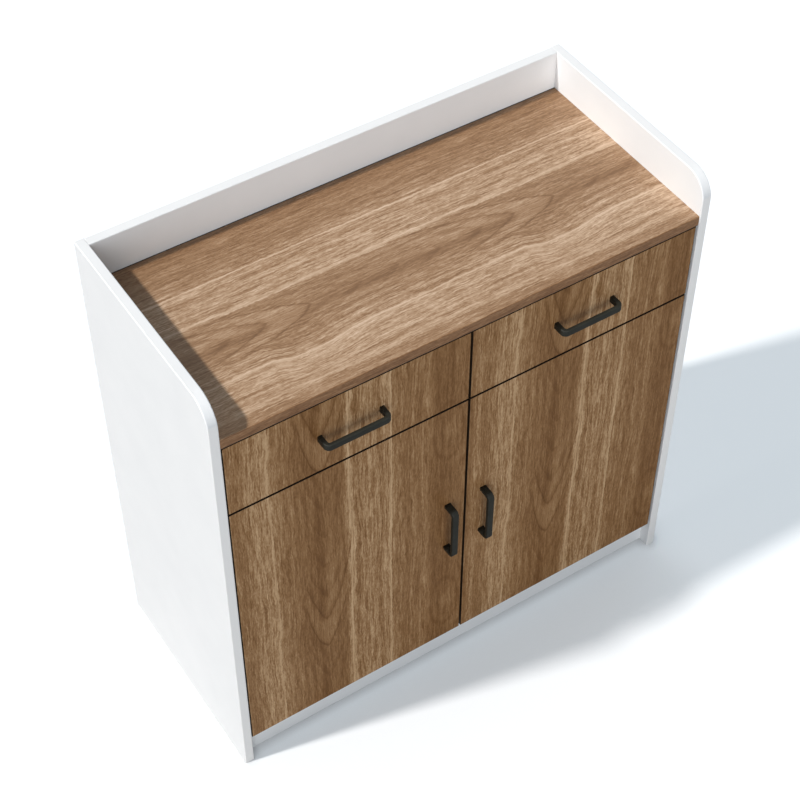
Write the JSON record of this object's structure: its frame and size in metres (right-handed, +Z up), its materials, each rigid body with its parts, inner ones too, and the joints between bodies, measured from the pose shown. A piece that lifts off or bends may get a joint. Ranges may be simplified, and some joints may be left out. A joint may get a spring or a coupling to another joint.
{
  "type": "beverage cabinet",
  "caption": "Free-standing beverage station cabinet with a walnut-look top, raised side panels and upstand, drawers over hinged doors, and black bow handles.",
  "frame": {"origin": "on the floor, under the middle of the bounding box of the closed cabinet with its handles", "axes": "+X to the cabinet's right as seen from its front, the front faces -Y, +Z up"},
  "size_m": [0.8, 0.384, 0.815],
  "materials": {
    "white_laminate": "satin white laminate on particleboard",
    "walnut_countertop": "satin walnut laminate on particleboard",
    "walnut_front": "satin walnut laminate on particleboard",
    "black_handle": "matt black powder coat",
    "drawer_board": "matt white melamine on particleboard",
    "hardboard": "white painted hardboard",
    "cast_zinc": "bare die-cast zinc",
    "beech": "raw turned beech",
    "clear_bumper": "soft translucent plastic",
    "zinc_plated_steel": "bright zinc plating",
    "nickel_plated_steel": "nickel plating"
  },
  "bodies": {
    "root": {"left_side_panel": "white_laminate", "right_side_panel": "white_laminate", "countertop": "walnut_countertop", "back_upstand": "white_laminate", "back_panel": "hardboard", "bottom_panel": "white_laminate", "drawer_deck": "white_laminate", "centre_divider": "white_laminate", "kick_board": "white_laminate", "rear_plinth": "white_laminate", "adjustable_shelf": "white_laminate", "shelf_pins": "nickel_plated_steel", "cam_locks": "cast_zinc", "cam_bolts": "cast_zinc", "dowels": "beech", "front_bumpers": "clear_bumper", "hinge_mounting_plates": "nickel_plated_steel", "hinge_plate_screws": "nickel_plated_steel", "left_drawer_outboard_slide_outer": "zinc_plated_steel", "left_drawer_inboard_slide_outer": "zinc_plated_steel", "left_lower_hinge_arm": "nickel_plated_steel", "left_upper_hinge_arm": "nickel_plated_steel", "right_drawer_outboard_slide_outer": "zinc_plated_steel", "right_drawer_inboard_slide_outer": "zinc_plated_steel", "right_lower_hinge_arm": "nickel_plated_steel", "right_upper_hinge_arm": "nickel_plated_steel"},
    "left_drawer": {"left_drawer_front": "walnut_front", "left_drawer_outboard_side": "drawer_board", "left_drawer_inboard_side": "drawer_board", "left_drawer_back": "drawer_board", "left_drawer_bottom": "hardboard", "left_drawer_fixings": "cast_zinc", "left_drawer_handle": "black_handle", "left_drawer_handle_screws": "nickel_plated_steel", "left_drawer_outboard_slide_inner": "zinc_plated_steel", "left_drawer_inboard_slide_inner": "zinc_plated_steel"},
    "left_slide_middles": {"left_drawer_outboard_slide_middle": "zinc_plated_steel", "left_drawer_inboard_slide_middle": "zinc_plated_steel"},
    "left_door": {"left_door": "walnut_front", "left_door_handle": "black_handle", "left_door_screws": "nickel_plated_steel", "left_hinge_cups": "nickel_plated_steel"},
    "left_hinge_links": {"left_hinge_links": "nickel_plated_steel"},
    "right_drawer": {"right_drawer_front": "walnut_front", "right_drawer_outboard_side": "drawer_board", "right_drawer_inboard_side": "drawer_board", "right_drawer_back": "drawer_board", "right_drawer_bottom": "hardboard", "right_drawer_fixings": "cast_zinc", "right_drawer_handle": "black_handle", "right_drawer_handle_screws": "nickel_plated_steel", "right_drawer_outboard_slide_inner": "zinc_plated_steel", "right_drawer_inboard_slide_inner": "zinc_plated_steel"},
    "right_slide_middles": {"right_drawer_outboard_slide_middle": "zinc_plated_steel", "right_drawer_inboard_slide_middle": "zinc_plated_steel"},
    "right_door": {"right_door": "walnut_front", "right_door_handle": "black_handle", "right_door_screws": "nickel_plated_steel", "right_hinge_cups": "nickel_plated_steel"},
    "right_hinge_links": {"right_hinge_links": "nickel_plated_steel"}
  },
  "joints": [
    {"name": "left_drawer_travel", "type": "slide", "parent": "root", "child": "left_drawer", "axis": [0, -1, 0], "range_m": [0, 0.28]},
    {"name": "left_slide_middles_travel", "type": "slide", "parent": "root", "child": "left_slide_middles", "axis": [0, -1, 0], "range_m": [0, 0.14]},
    {"name": "left_door_swing", "type": "hinge", "parent": "root", "child": "left_door", "pos_m": [-0.379, -0.167, 0.3], "axis": [0, 0, -1], "range_deg": [0, 105]},
    {"name": "left_hinge_links_turn", "type": "hinge", "parent": "root", "child": "left_hinge_links", "pos_m": [-0.3585, -0.1576, 0.3], "axis": [0, 0, 1], "range_deg": [0, 105]},
    {"name": "right_drawer_travel", "type": "slide", "parent": "root", "child": "right_drawer", "axis": [0, -1, 0], "range_m": [0, 0.28]},
    {"name": "right_slide_middles_travel", "type": "slide", "parent": "root", "child": "right_slide_middles", "axis": [0, -1, 0], "range_m": [0, 0.14]},
    {"name": "right_door_swing", "type": "hinge", "parent": "root", "child": "right_door", "pos_m": [0.379, -0.167, 0.3], "axis": [0, 0, 1], "range_deg": [0, 105]},
    {"name": "right_hinge_links_turn", "type": "hinge", "parent": "root", "child": "right_hinge_links", "pos_m": [0.3585, -0.1576, 0.3], "axis": [0, 0, -1], "range_deg": [0, 105]}
  ],
  "couplings": [
    {"joint": "left_slide_middles_travel", "follows": "left_drawer_travel", "ratio": 0.5},
    {"joint": "left_hinge_links_turn", "follows": "left_door_swing", "ratio": 1},
    {"joint": "right_slide_middles_travel", "follows": "right_drawer_travel", "ratio": 0.5},
    {"joint": "right_hinge_links_turn", "follows": "right_door_swing", "ratio": 1}
  ]
}
